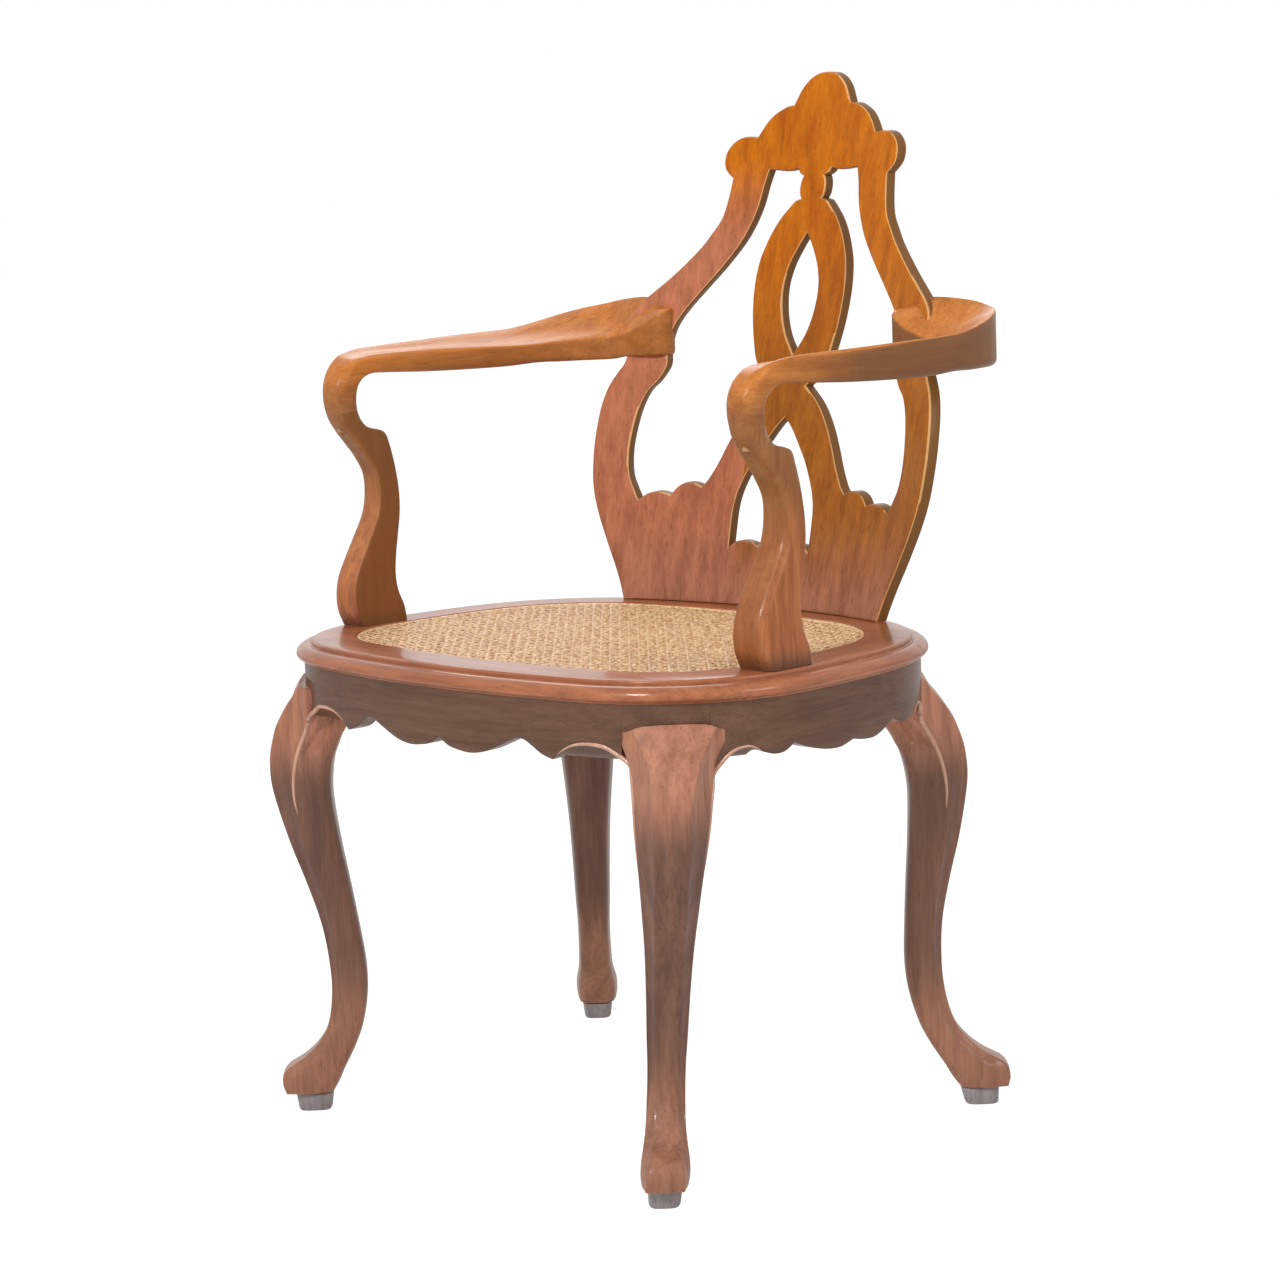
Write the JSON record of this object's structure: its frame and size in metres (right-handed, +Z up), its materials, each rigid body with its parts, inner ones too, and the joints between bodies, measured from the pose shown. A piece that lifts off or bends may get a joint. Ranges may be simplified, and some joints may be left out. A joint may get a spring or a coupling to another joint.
{
  "type": "cane chair",
  "caption": "Wooden armchair with a pierced curved back, scrolled arms, cabriole legs and a moulded seat frame around a woven cane seat.",
  "frame": {"origin": "centre of the overall footprint, on the floor under the feet", "axes": "+Z up, -Y towards the front, where the sitter faces, +X to the sitter's left"},
  "size_m": [0.607, 0.568, 0.9741],
  "materials": {
    "wood": "gloss",
    "cane": "satin",
    "screw_steel": "satin"
  },
  "bodies": {
    "root": {"apron_front": "wood", "apron_left": "wood", "apron_rear": "wood", "apron_right": "wood", "arm_dowels": "wood", "arm_left": "wood", "arm_post_left": "wood", "arm_post_right": "wood", "arm_right": "wood", "back_base": "wood", "back_board_left": "wood", "back_board_right": "wood", "back_dowels": "wood", "back_joint_dowels": "wood", "back_splat": "wood", "back_strip_left": "wood", "back_strip_right": "wood", "cane_panel": "cane", "cane_spline": "cane", "corner_block_front_left": "wood", "corner_block_front_right": "wood", "corner_block_rear_left": "wood", "corner_block_rear_right": "wood", "corner_block_screws": "screw_steel", "leg_front_left": "wood", "leg_front_right": "wood", "leg_rear_left": "wood", "leg_rear_right": "wood", "post_screws": "screw_steel", "rail_dowels": "wood", "seat_dowels": "wood", "seat_rail_front": "wood", "seat_rail_left": "wood", "seat_rail_rear": "wood", "seat_rail_right": "wood"}
  },
  "joints": []
}
